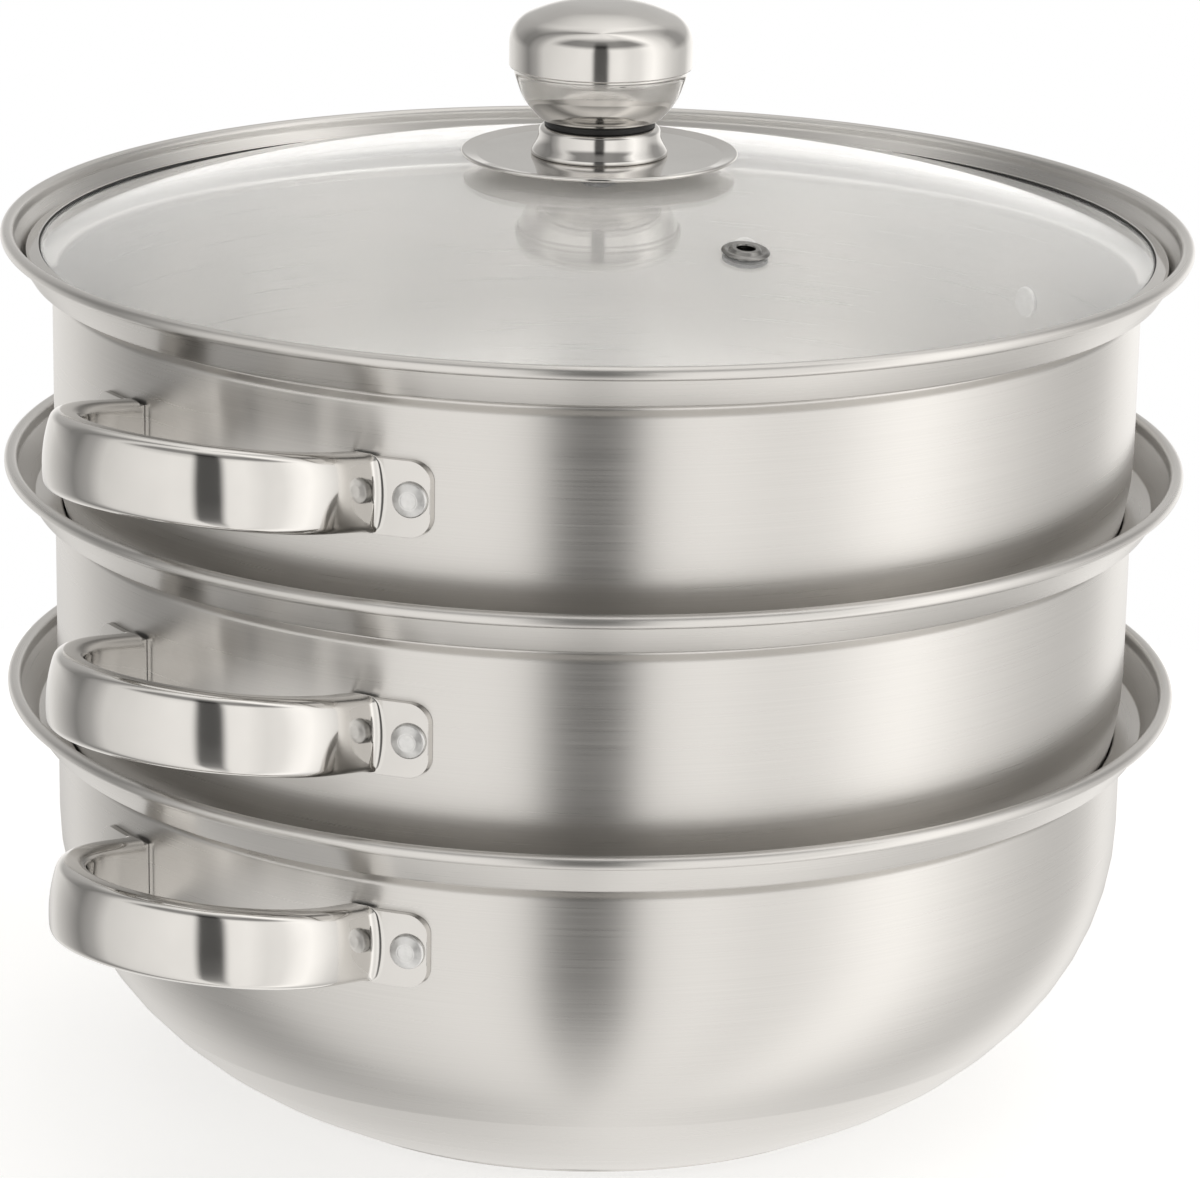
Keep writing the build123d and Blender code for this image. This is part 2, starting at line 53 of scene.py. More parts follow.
# Heights of the three rims and sizes that all vessels share. Radii and heights are in millimetres,
# and an outline's heights count from the vessel's rim.
RIM_HEIGHTS = {"pot": 109.0, "middle_tray": 168.5, "top_tray": 228.0}
TIER_PITCH = RIM_HEIGHTS["top_tray"] - RIM_HEIGHTS["middle_tray"]
SHEET = 0.6
HALF_SHEET = SHEET / 2
EDGE_ROUND_SHARE = 0.45
BODY_RADIUS = 140.0
WALL_LINE = BODY_RADIUS - HALF_SHEET
# Clearance between fixed pieces, and between a piece and the one that it stands on
GAP = 0.1
SEAT_GAP = 0.3

# Where the camera stood: distance from the middle of the top rim, angles in degrees, and how far
# round the pot it stood from the side between the handles
CAMERA_DISTANCE = 1304.2
CAMERA_ELEVATION = 12.603
CAMERA_PITCH = 4.1575
CAMERA_YAW = -0.0934
CAMERA_ROLL = 0.9949
CAMERA_LENS = 151.53
SENSOR_WIDTH = 36.0
CLIP_END = 100
CAMERA_ROUND = -52.3


# Bent sheets and turned shapes

def side_corners(corners, distance):
    """Corners of the line that runs beside a line of corners, at a distance to its left."""
    runs = [(end - start).normalized() for start, end in zip(corners, corners[1:])]
    sides = [Vector((-run.y, run.x)) for run in runs]
    places = [corners[0] + sides[0] * distance]
    for corner, before, after in zip(corners[1:], sides, sides[1:]):
        places.append(corner + (before + after) * (distance / (1 + before.dot(after))))
    places.append(corners[-1] + sides[-1] * distance)
    return places


def turn_at(before, corner, after):
    """Signed angle by which a line turns at a corner."""
    return (after - corner).angle_signed(corner - before)


def bend_points(before, corner, after, radius):
    """Points of the round bend at a corner, or the corner itself where the radius is zero."""
    turn = turn_at(before, corner, after)
    if radius <= 0 or abs(turn) < STRAIGHT:
        return [corner]
    reach = radius * math.tan(abs(turn) / 2)
    into = (corner - before).normalized()
    start = corner - into * reach
    side = Vector((-into.y, into.x)) * math.copysign(radius, turn)
    centre = start + side
    steps = max(2, math.ceil(abs(turn) / BEND_STEP))
    points = []
    for step in range(steps + 1):
        arm = -side
        arm.rotate(Matrix.Rotation(turn * step / steps, 2))
        points.append(centre + arm)
    return points


def bent_line(corners, bends):
    """Points along an open line of corners with round bends."""
    points = [corners[0]]
    for before, corner, after, radius in zip(corners, corners[1:], corners[2:], bends):
        points += bend_points(before, corner, after, radius)
    return points + [corners[-1]]


def sheet_outline(line, bends, thickness):
    """Closed outline of a bent sheet with rounded free edges, from its mid line."""
    corners = [Vector(place) for place in line]
    turns = [
        math.copysign(1, turn_at(before, corner, after))
        for before, corner, after in zip(corners, corners[1:], corners[2:])
    ]
    half = thickness / 2
    left, right = [
        bent_line(
            side_corners(corners, side), [max(b - t * side, 0) for b, t in zip(bends, turns)]
        )
        for side in (half, -half)
    ]
    loop = left + right[::-1]
    ends = [left[0], left[-1], right[-1], right[0]]
    rounded = []
    for index, point in enumerate(loop):
        if point in ends and point.x > half:
            before, after = loop[index - 1], loop[(index + 1) % len(loop)]
            rounded += bend_points(before, point, after, EDGE_ROUND_SHARE * thickness)
        else:
            rounded.append(point)
    return rounded


def solid_outline(line, bends):
    """Closed outline through corners with round bends, for a solid turned piece."""
    corners = [Vector(place) for place in line]
    points = []
    for index, corner in enumerate(corners):
        before, after = corners[index - 1], corners[(index + 1) % len(corners)]
        points += bend_points(before, corner, after, bends[index])
    return points


def ring_outline(inner, outer, low, high, bends):
    """Closed outline of a flat ring with eased edges."""
    return solid_outline([(inner, low), (outer, low), (outer, high), (inner, high)], bends)


def new_mesh(name, vertices, faces, material):
    """A mesh in metres from places in millimetres."""
    mesh = bpy.data.meshes.new(name)
    mesh.from_pydata([tuple(c * MM for c in vertex) for vertex in vertices], [], faces)
    mesh.materials.append(material)
    return mesh


def new_object(name, data):
    """An object in the scene."""
    item = bpy.data.objects.new(name, data)
    bpy.context.scene.collection.objects.link(item)
    return item


def new_piece(name, body, vertices, faces, material, sharp_angle=SHARP_ANGLE):
    """A shown piece, smooth but for its sharp edges, that rides on a body."""
    mesh = new_mesh(name, vertices, faces, material)
    mesh.validate()
    mesh.shade_smooth()
    mesh.set_sharp_from_angle(angle=math.radians(sharp_angle))
    piece = new_object(name, mesh)
    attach(piece, body)
    return piece


def turned_mesh(outline, around=AROUND, closed=True):
    """Vertices and faces of an outline of radii and heights turned about the upright axis."""
    vertices = []
    rings = []
    for point in outline:
        if abs(point.x) < ON_AXIS:
            rings.append([len(vertices)] * around)
            vertices.append((0, 0, point.y))
            continue
        rings.append(list(range(len(vertices), len(vertices) + around)))
        for step in range(around):
            angle = 2 * math.pi * step / around
            vertices.append((point.x * math.cos(angle), point.x * math.sin(angle), point.y))
    faces = []
    pairs = list(zip(rings, rings[1:] + rings[:1]))
    for lower, upper in pairs if closed else pairs[:-1]:
        for step in range(around):
            ahead = (step + 1) % around
            face = [lower[step], lower[ahead], upper[ahead], upper[step]]
            face = list(dict.fromkeys(face))
            if len(face) > 2:
                faces.append(face)
    return vertices, faces


def raised(vertices, height):
    """Vertices moved up by a height."""
    return [(x, y, z + height) for x, y, z in vertices]


def turned_piece(name, body, outline, height, material, around=AROUND):
    """A piece turned about the upright axis, with its outline's heights above a given one."""
    vertices, faces = turned_mesh(outline, around)
    return new_piece(name, body, raised(vertices, height), faces, material)


# Materials

def linear(value):
    """One sRGB channel from 0 to 1 as linear light."""
    if value <= 0.04045:
        return value / 12.92
    return ((value + 0.055) / 1.055) ** 2.4


def colour(code):
    """Linear colour of a hex sRGB code, with full alpha."""
    channels = [int(code[place:place + 2], 16) / 255 for place in (1, 3, 5)]
    return (*[linear(channel) for channel in channels], 1.0)


def add_node(tree, kind, inputs=(), stops=(), **settings):
    """Adds a node. Inputs pair a socket with a source or a value, stops fill a colour ramp."""
    node = tree.nodes.new(kind)
    for name, value in settings.items():
        setattr(node, name, value)
    for socket, value in inputs:
        if isinstance(value, bpy.types.NodeSocket):
            tree.links.new(value, node.inputs[socket])
        else:
            node.inputs[socket].default_value = value
    for index, (place, shade) in enumerate(stops):
        elements = node.color_ramp.elements
        stop = elements[index] if index < 2 else elements.new(place)
        stop.position = place
        stop.color = shade
    return node


# Spacing and length of the grooves that the brushing belt leaves, and their fineness
GROOVE_WIDTH = 0.35
GROOVE_LENGTH = 60.0
GROOVE_DETAIL = 3.0
GROOVE_ROUGHNESS = 0.6
# Part of a noise's range that the finishes use
NOISE_LOW = 0.3
NOISE_HIGH = 0.7
GLASS_CLEARNESS = 0.9
METAL = ("Metallic", 1.0)


def ring_grooves(tree):
    """Fine grooves that run round the upright axis, as left by a belt on a turning vessel."""
    place = add_node(tree, "ShaderNodeTexCoord").outputs["Object"]
    parts = add_node(tree, "ShaderNodeSeparateXYZ", [(0, place)])
    x, y, z = parts.outputs
    flat = add_node(tree, "ShaderNodeCombineXYZ", [(0, x), (1, y)])
    out = add_node(tree, "ShaderNodeVectorMath", [(0, flat.outputs[0])], operation="LENGTH")
    run = add_node(tree, "ShaderNodeMath", [(0, z), (1, out.outputs["Value"])], operation="ADD")
    across = add_node(
        tree, "ShaderNodeMath", [(0, run.outputs[0]), (1, GROOVE_LENGTH / GROOVE_WIDTH)],
        operation="MULTIPLY",
    )
    lines = add_node(tree, "ShaderNodeCombineXYZ", [(0, x), (1, y), (2, across.outputs[0])])
    noise = add_node(
        tree, "ShaderNodeTexNoise",
        [("Vector", lines.outputs[0]), ("Scale", 1 / (GROOVE_LENGTH * MM)),
         ("Detail", GROOVE_DETAIL), ("Roughness", GROOVE_ROUGHNESS)],
    )
    return noise.outputs["Fac"]


def blotches(size, detail):
    """A pattern of soft random blotches of a size in millimetres."""
    def pattern(tree):
        place = add_node(tree, "ShaderNodeTexCoord").outputs["Object"]
        noise = add_node(
            tree, "ShaderNodeTexNoise",
            [("Vector", place), ("Scale", 1 / (size * MM)), ("Detail", detail)],
        )
        return noise.outputs["Fac"]
    return pattern


def finish(name, pattern, tints, roughness, constants=(), relief=None, extra=None):
    """A material whose pattern varies its colour, its roughness and, with relief, its surface.

    Tints and roughness are each a low and a high one, and relief is a strength and a depth in
    millimetres. Extra adds nodes of its own and gives the shader's inputs that they feed.
    """
    material = bpy.data.materials.new(name)
    material.use_nodes = True
    tree = material.node_tree
    tree.nodes.clear()
    value = pattern(tree)
    dark, light = tints
    tint = add_node(
        tree, "ShaderNodeValToRGB", [("Fac", value)],
        stops=[(NOISE_LOW, colour(dark)), (NOISE_HIGH, colour(light))],
    )
    low, high = roughness
    spread = add_node(
        tree, "ShaderNodeMapRange",
        [("Value", value), ("From Min", NOISE_LOW), ("From Max", NOISE_HIGH), ("To Min", low),
         ("To Max", high)],
    )
    inputs = [("Base Color", tint.outputs[0]), ("Roughness", spread.outputs[0]), *constants]
    if relief:
        strength, depth = relief
        bump = add_node(
            tree, "ShaderNodeBump",
            [("Height", value), ("Strength", strength), ("Distance", depth * MM)],
        )
        inputs.append(("Normal", bump.outputs[0]))
    if extra:
        inputs += extra(tree)
    shader = add_node(tree, "ShaderNodeBsdfPrincipled", inputs)
    add_node(tree, "ShaderNodeOutputMaterial", [("Surface", shader.outputs[0])])
    return material


def round_brushing(tree):
    """The grooves run round the upright axis, so highlights are drawn out across them."""
    around = add_node(tree, "ShaderNodeTangent", direction_type="RADIAL", axis="Z")
    return [("Tangent", around.outputs[0])]


def clear_to_light(tree):
    """Light falls straight through to the food tray, as it does through thin glass."""
    falling = add_node(tree, "ShaderNodeLightPath").outputs["Is Shadow Ray"]
    solid = add_node(tree, "ShaderNodeMath", [(0, 1.0), (1, falling)], operation="SUBTRACT")
    return [("Alpha", solid.outputs[0])]


def dark_rubber(name, tints, roughness):
    """Moulded silicone or plastic: dark and dull, with a fine moulded grain."""
    return finish(name, blotches(size=0.8, detail=2.0), tints, roughness, relief=(0.1, 0.05))


def plain_metal(name, tints, roughness):
    """Plated or rolled metal of the hidden pieces: evenly bright with a fine rolled grain."""
    return finish(name, blotches(size=2.5, detail=3.0), tints, roughness, [METAL])


# Stainless sheet, belt brushed while it turns: bright, with highlights drawn out upright
SATIN = finish(
    "satin_stainless_brushed", ring_grooves, tints=("#d5d3d0", "#dbd9d6"), roughness=(0.27, 0.32),
    constants=[METAL, ("Anisotropic", 0.75), ("Anisotropic Rotation", 0.25)],
    relief=(0.05, 0.02), extra=round_brushing,
)
# Pressed stainless, buffed: sharp reflections with a faint buffing haze
POLISHED = finish(
    "polished_stainless_buffed", blotches(size=14, detail=4.0), tints=("#d4d2cf", "#dad8d5"),
    roughness=(0.06, 0.11), constants=[METAL],
)
# Upset rivet heads, left as pressed: pale and matt
RIVET = finish(
    "rivet_steel_pressed", blotches(size=1.5, detail=3.0), tints=("#d9d9d8", "#e9e9e8"),
    roughness=(0.3, 0.42), constants=[("Metallic", 0.9)],
)
# Small pressed eyelet: darker than the other steel and a little soft
EYELET_STEEL = finish(
    "eyelet_steel_darker", blotches(size=2, detail=3.0), tints=("#8f8e8c", "#9b9a98"),
    roughness=(0.16, 0.24), constants=[METAL],
)
# Tempered soda lime glass, pressed into a dome: clear, under a faint pale veil
GLASS = finish(
    "tempered_glass_pressed", blotches(size=40, detail=2.0), tints=("#f9fafa", "#fdfdfd"),
    roughness=(0.0, 0.015), constants=[("Transmission Weight", GLASS_CLEARNESS), ("IOR", 1.5)],
    extra=clear_to_light,
)
BLACK = dark_rubber("black_plastic_moulded", ("#0c0c0c", "#161616"), (0.4, 0.55))
SILICONE = dark_rubber("grey_silicone_moulded", ("#2a2a2a", "#363636"), (0.5, 0.65))
ZINC = plain_metal("zinc_plated_steel", ("#a9abae", "#bcbec1"), (0.25, 0.35))
ALUMINIUM = plain_metal("rolled_aluminium", ("#c4c5c7", "#d2d3d5"), (0.35, 0.45))


# Vessels: rolled rim, flare, ledge, bead and wall

RIM_RADIUS = 153.0
ROLL_WIDTH = 3.4
ROLL_DEPTH = 3.4
ROLL_END_REACH = 1.8
FLARE_TOP_DEPTH = 3.4
FLARE_FOOT = (145.3, -10.9)
BEAD_INSET = 2.32
BEAD_DEPTH = 13.0
BEAD_END_DEPTH = 15.2
BEAD_BEND = 0.9
RIM_BENDS = [1.3, 1.3, 1.3, 2.0, 1.2, BEAD_BEND, 1.5]


def rim_line():
    """Mid line of a vessel's rim, from the free end of the roll down to the straight wall."""
    outside = RIM_RADIUS - HALF_SHEET
    inside = RIM_RADIUS - ROLL_WIDTH + HALF_SHEET
    foot = HALF_SHEET - ROLL_DEPTH
    return [
        (outside - ROLL_END_REACH, foot),
        (outside, foot),
        (outside, -HALF_SHEET),
        (inside, -HALF_SHEET),
        (inside, -FLARE_TOP_DEPTH),
        FLARE_FOOT,
        (WALL_LINE - BEAD_INSET, -BEAD_DEPTH),
        (WALL_LINE, -BEAD_END_DEPTH),
    ]


def bend_reach(radius, degrees):
    """Length that a bend takes from each of the two straight runs beside it."""
    return radius * math.tan(math.radians(degrees) / 2)


def run_down(start, length, degrees):
    """End of a straight run that leads inward and down, at an angle from the vertical."""
    angle = math.radians(degrees)
    return (start[0] - length * math.sin(angle), start[1] - length * math.cos(angle))


POT_WALL_DEPTH = 36.3
BOWL_UPPER_RADIUS = 68.6 - HALF_SHEET
BOWL_UPPER_ANGLE = 40.0
BOWL_LOWER_RADIUS = 96.9 - HALF_SHEET
BOWL_LOWER_ANGLE = 64.0
BASE_EDGE_BEND = 6.0
BASE_HEIGHT = 1.6


def pot_line():
    """Mid line of the pot's bowl, and its bends."""
    upper_reach = bend_reach(BOWL_UPPER_RADIUS, BOWL_UPPER_ANGLE)
    lower_reach = bend_reach(BOWL_LOWER_RADIUS, BOWL_LOWER_ANGLE - BOWL_UPPER_ANGLE)
    floor = BASE_HEIGHT + HALF_SHEET - RIM_HEIGHTS["pot"]
    upper = (WALL_LINE, -POT_WALL_DEPTH - upper_reach)
    lower = run_down(upper, upper_reach + lower_reach, BOWL_UPPER_ANGLE)
    last = (lower[1] - floor) / math.cos(math.radians(BOWL_LOWER_ANGLE))
    edge = run_down(lower, last, BOWL_LOWER_ANGLE)
    return [upper, lower, edge, (0, floor)], [BOWL_UPPER_RADIUS, BOWL_LOWER_RADIUS, BASE_EDGE_BEND]


TRAY_DEPTH = 84.3
TRAY_FLOOR = HALF_SHEET - TRAY_DEPTH
TRAY_ARC_RADIUS = 75.0
TRAY_WALL_ANGLE = 17.0
TRAY_CORNER_RADIUS = 12.0


def tray_arc_depth():
    """Depth where a tray's wall starts to curve in, so that it seats on the bead below."""
    before, corner, after = [Vector(place) for place in rim_line()[-3:]]
    back = (before - corner).normalized()
    ahead = (after - corner).normalized()
    away = BEAD_BEND / math.sin(back.angle(ahead) / 2)
    bead = corner + (back + ahead).normalized() * away
    reach = TRAY_ARC_RADIUS + BEAD_BEND + HALF_SHEET + SEAT_GAP
    across = bead.x - BODY_RADIUS + TRAY_ARC_RADIUS
    return TIER_PITCH - bead.y - math.sqrt(reach**2 - across**2)


def tray_line():
    """Mid line of a tray's lower wall down to its floor's corner, and its bends."""
    arc = TRAY_ARC_RADIUS - HALF_SHEET
    upper = (WALL_LINE, -tray_arc_depth() - bend_reach(arc, TRAY_WALL_ANGLE))
    run = (upper[1] - TRAY_FLOOR) / math.cos(math.radians(TRAY_WALL_ANGLE))
    return [upper, run_down(upper, run, TRAY_WALL_ANGLE)], [arc, TRAY_CORNER_RADIUS]


STEAM_HOLE_RADIUS = 3.0
STEAM_HOLE_PITCH = 15.0
STEAM_HOLE_RINGS = 7
HOLE_STEPS = 28
# Distances within which the floor's points are one, and within which they are on its edge
FLOOR_WELD = 0.001
FLOOR_EDGE = 0.05
# Distance within which the wall's outline has reached the floor
WALL_END = 0.01


def circle_points(x, y, radius, steps):
    """Points round a circle."""
    angles = [2 * math.pi * step / steps for step in range(steps)]
    return [(x + radius * math.cos(angle), y + radius * math.sin(angle)) for angle in angles]


def steam_hole_places():
    """Middles of the steam holes: one in the centre and rings of six more each."""
    places = [(0.0, 0.0)]
    for ring in range(1, STEAM_HOLE_RINGS + 1):
        places += circle_points(0, 0, ring * STEAM_HOLE_PITCH, 6 * ring)
    return places


def perforated_floor(edge_radius):
    """Vertices and faces of a flat sheet with steam holes, without an outer edge face."""
    flat = bpy.data.curves.new("floor_outline", "CURVE")
    flat.dimensions = "2D"
    flat.fill_mode = "BOTH"
    flat.extrude = HALF_SHEET
    loops = [circle_points(0, 0, edge_radius, AROUND)]
    loops += [circle_points(x, y, STEAM_HOLE_RADIUS, HOLE_STEPS) for x, y in steam_hole_places()]
    for loop in loops:
        spline = flat.splines.new("POLY")
        spline.points.add(len(loop) - 1)
        for point, (x, y) in zip(spline.points, loop):
            point.co = (x, y, 0, 1)
        spline.use_cyclic_u = True
    carrier = bpy.data.objects.new("floor_outline", flat)
    mesh = bpy.data.meshes.new_from_object(carrier)
    form = bmesh.new()
    form.from_mesh(mesh)
    bmesh.ops.remove_doubles(form, verts=form.verts, dist=FLOOR_WELD)
    form.verts.index_update()
    limit = edge_radius - FLOOR_EDGE
    places = [tuple(vertex.co) for vertex in form.verts]
    faces = [
        [vertex.index for vertex in face.verts]
        for face in form.faces
        if len({vertex.co.z > 0 for vertex in face.verts}) == 1
        or any(vertex.co.xy.length < limit for vertex in face.verts)
    ]
    form.free()
    bpy.data.objects.remove(carrier)
    bpy.data.curves.remove(flat)
    bpy.data.meshes.remove(mesh)
    return places, faces


def make_pot_shell():
    """The pot, from its rolled rim down to its flat base."""
    line, bends = pot_line()
    outline = sheet_outline(rim_line() + line, RIM_BENDS + bends, SHEET)
    piece = turned_piece("pot_shell_formed", "pot", outline, RIM_HEIGHTS["pot"], SATIN)
    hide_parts("pot_shell")


def opened_at_floor(outline, edge):
    """The part of a wall's closed outline outside the floor's edge, open at that edge."""
    kept = [point for point in outline if point.x >= edge - WALL_END]
    gaps = [
        (point - before).length if max(point.x, before.x) < edge + WALL_END else 0
        for before, point in zip([kept[-1], *kept], kept)
    ]
    start = gaps.index(max(gaps))
    return kept[start:] + kept[:start]


def make_tray_shell(body):
    """A tray: its turned wall, joined to its floor with steam holes at the floor's edge."""
    line, bends = tray_line()
    edge = line[-1][0] - bend_reach(TRAY_CORNER_RADIUS, 90 - TRAY_WALL_ANGLE)
    full = rim_line() + line + [(edge - SHEET, TRAY_FLOOR)]
    outline = opened_at_floor(sheet_outline(full, RIM_BENDS + bends, SHEET), edge)
    vertices, faces = turned_mesh(outline, closed=False)
    places, floor_faces = perforated_floor(outline[0].x)
    starts_on_top = outline[0].y > outline[-1].y
    last_ring = (len(outline) - 1) * AROUND
    joined = []
    for index, (x, y, z) in enumerate(places):
        if math.hypot(x, y) > outline[0].x - FLOOR_EDGE:
            step = round(math.atan2(y, x) / (2 * math.pi) * AROUND) % AROUND
            joined.append(step if (z > 0) == starts_on_top else last_ring + step)
        else:
            joined.append(len(vertices) + index)
    vertices += raised(places, TRAY_FLOOR)
    walls = len(faces)
    faces += [[joined[v] for v in face] for face in floor_faces]
    name = body + "_shell_formed"
    piece = new_piece(name, body, raised(vertices, RIM_HEIGHTS[body]), faces, SATIN)
    # The floor's faces are long and flat, so they are shaded flat
    for face in piece.data.polygons[walls:]:
        face.use_smooth = False
    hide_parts(body + "_shell")


# Handles, tabs and rivets

HANDLE_DROPS = {"pot": 30.9, "middle_tray": 37.1, "top_tray": 37.1}
HANDLE_HEIGHTS = {name: RIM_HEIGHTS[name] - drop for name, drop in HANDLE_DROPS.items()}
LOOP_RADIUS = 41.0
LOOP_DISTANCE = 147.0
ROOT_DISTANCE = 134.0
HANDLE_TILT = math.radians(10.0)
BAR_WIDTH = 8.6
BAR_HEIGHT = 19.0
BAR_CORNER = 2.8
BAR_CROWN = 1.25
CROWN_STEPS = 12
LOOP_STEPS = 60
# Round foot where the bar meets its tab, and how far the bar runs on into the tab
FOOT_ROUND = 2.2
FOOT_STEPS = 6
FOOT_SINK = 0.5
HANDLE_SHARP_ANGLE = 40
TAB_THICKNESS = 1.5
TAB_HEIGHT = 18.7
TAB_HALF_SPAN = 53.2
TAB_CORNER = 5.0
TAB_EDGE = 0.35
TAB_EDGE_STEPS = 3
TAB_EDGE_ANGLE = 50
TAB_COLUMNS = 26
TAB_ROWS = 8
RIVET_HALF_SPAN = 48.1
LEG_PLACE = LOOP_RADIUS - BAR_WIDTH / 2
TAB_RADIUS = BODY_RADIUS + GAP + TAB_THICKNESS


def bar_outline():
    """Outline of the handle's bar as (outward, up) places: flat inside, crowned outside."""
    half_width = BAR_WIDTH / 2
    half_height = BAR_HEIGHT / 2
    side = half_width - BAR_CROWN
    crown_radius = (half_height**2 + BAR_CROWN**2) / (2 * BAR_CROWN)
    crown = []
    for step in range(1, CROWN_STEPS):
        up = half_height * (2 * step / CROWN_STEPS - 1)
        out = half_width - crown_radius + math.sqrt(crown_radius**2 - up**2)
        crown.append((out, up))
    line = [(-half_width, -half_height), (side, -half_height), *crown]
    line += [(side, half_height), (-half_width, half_height)]
    inner = [point for point in line if abs(point[1]) < half_height - BAR_CORNER]
    corners = [(-half_width, -half_height), (side, -half_height)]
    corners += inner + [(side, half_height), (-half_width, half_height)]
    bends = [BAR_CORNER, BAR_CORNER, *[0] * len(inner), BAR_CORNER, BAR_CORNER]
    return solid_outline(corners, bends)


def handle_mesh():
    """Vertices and faces of the loop of a handle on the +X side, at height zero."""
    section = bar_outline()
    along = Vector((math.cos(HANDLE_TILT), 0, math.sin(HANDLE_TILT)))
    up = Vector((-math.sin(HANDLE_TILT), 0, math.cos(HANDLE_TILT)))
    across = Vector((0, 1, 0))
    origin = Vector((ROOT_DISTANCE, 0, 0))
    leg_length = (LOOP_DISTANCE - ROOT_DISTANCE) / math.cos(HANDLE_TILT)
    turns = [math.radians(90 * step / FOOT_STEPS) for step in range(FOOT_STEPS + 1)]
    foot = [FOOT_ROUND * (1 - math.cos(turn)) for turn in turns]
    legs = [-FOOT_SINK, *foot, 2 * FOOT_ROUND]
    # Each section: on a leg, its side and distance from the tab; on the loop, its turn in degrees
    stations = [("leg", 1, distance) for distance in legs]
    stations += [("loop", 90 - 180 * step / LOOP_STEPS, 0) for step in range(LOOP_STEPS + 1)]
    stations += [("leg", -1, distance) for distance in reversed(legs)]
    vertices = []
    for kind, turn, distance in stations:
        for out, rise in section:
            if kind == "loop":
                angle = math.radians(turn)
                radius = LEG_PLACE + out
                place = origin + along * (leg_length + radius * math.cos(angle))
                place += across * (radius * math.sin(angle)) + up * rise
            else:
                short = FOOT_ROUND - min(max(distance, 0), FOOT_ROUND)
                spread = FOOT_ROUND - math.sqrt(FOOT_ROUND**2 - short**2)
                share = min(max(out / BAR_WIDTH + 0.5, 0), 1)
                side = LEG_PLACE + out + spread * share**2
                wall = math.sqrt(TAB_RADIUS**2 - side**2) - ROOT_DISTANCE
                start = (wall + rise * math.sin(HANDLE_TILT)) / math.cos(HANDLE_TILT)
                place = origin + along * (start + distance)
                place += across * (turn * side) + up * rise
            vertices.append(tuple(place))
    count = len(section)
    faces = []
    for ring in range(len(stations) - 1):
        for step in range(count):
            ahead = (step + 1) % count
            first, second = ring * count, (ring + 1) * count
            faces.append([first + step, second + step, second + ahead, first + ahead])
    return vertices, faces


def tab_mesh(sign):
    """Vertices and faces of the curved plate at one end of a handle, at height zero."""
    columns, rows = TAB_COLUMNS, TAB_ROWS
    inner_edge = LEG_PLACE - BAR_WIDTH / 2 + TAB_EDGE
    half = TAB_HEIGHT / 2
    vertices = []
    for layer in (TAB_RADIUS, BODY_RADIUS + GAP):
        for column in range(columns + 1):
            share = math.sin(column / columns * math.pi / 2)
            across = inner_edge + (TAB_HALF_SPAN - inner_edge) * share
            past = max(across - (TAB_HALF_SPAN - TAB_CORNER), 0)
            reach = half - TAB_CORNER + math.sqrt(max(TAB_CORNER**2 - past**2, 0))
            for row in range(rows + 1):
                up = reach * (2 * row / rows - 1)
                out = math.sqrt(layer**2 - across**2)
                vertices.append((out, sign * across, up))
    stride = rows + 1
    front = [
        [c * stride + r, (c + 1) * stride + r, (c + 1) * stride + r + 1, c * stride + r + 1]
        for c in range(columns)
        for r in range(rows)
    ]
    offset = (columns + 1) * stride
    rim = [c * stride for c in range(columns + 1)]
    rim += [columns * stride + r for r in range(1, rows + 1)]
    rim += [c * stride + rows for c in range(columns - 1, -1, -1)]
    rim += list(range(rows - 1, 0, -1))
    faces = front + [[v + offset for v in reversed(face)] for face in front]
    for start, end in zip(rim, rim[1:] + rim[:1]):
        faces.append([end, start, start + offset, end + offset])
    if sign < 0:
        faces = [list(reversed(face)) for face in faces]
    return vertices, faces


def make_handle(body, side):
    """Loop and tabs of one handle; the left one is the right one turned half round."""
    sign = 1 if side == "right" else -1
    height = HANDLE_HEIGHTS[body]
    node = f"{body}_handle_{side}"
    for part, (vertices, faces) in (
        ("loop", handle_mesh()), ("tab_a", tab_mesh(1)), ("tab_b", tab_mesh(-1))
    ):
        placed = [(sign * x, sign * y, z + height) for x, y, z in vertices]
        piece = new_piece(
            f"{node}_{part}", body, placed, faces, POLISHED, HANDLE_SHARP_ANGLE
        )
        if part == "loop":
            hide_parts(node)
        else:
            edge = piece.modifiers.new("edge", "BEVEL")
            edge.width = TAB_EDGE * MM
            edge.segments = TAB_EDGE_STEPS
            edge.limit_method = "ANGLE"
            edge.angle_limit = math.radians(TAB_EDGE_ANGLE)


RIVET_AROUND = 48
RIVET_HEAD_RADIUS = 4.45
RIVET_HEAD_HEIGHT = 1.7
# The head's side leans in a little, and its dome ends at a shallow dimple, at shares of its radius
RIVET_SIDE_HEIGHT = 0.95
RIVET_SIDE_LEAN = 0.15
RIVET_DOME_SHARE = 0.5
RIVET_DIMPLE_SHARE = 0.42
RIVET_DIMPLE_DEPTH = 0.12
RIVET_TAIL_RADIUS = 4.2
RIVET_TAIL_HEIGHT = 1.1
RIVET_SHANK_RADIUS = 2.4
RIVET_BENDS = [0.4, 0.2, 0, 0, 0.2, 0.7, 0.5, 0.3]


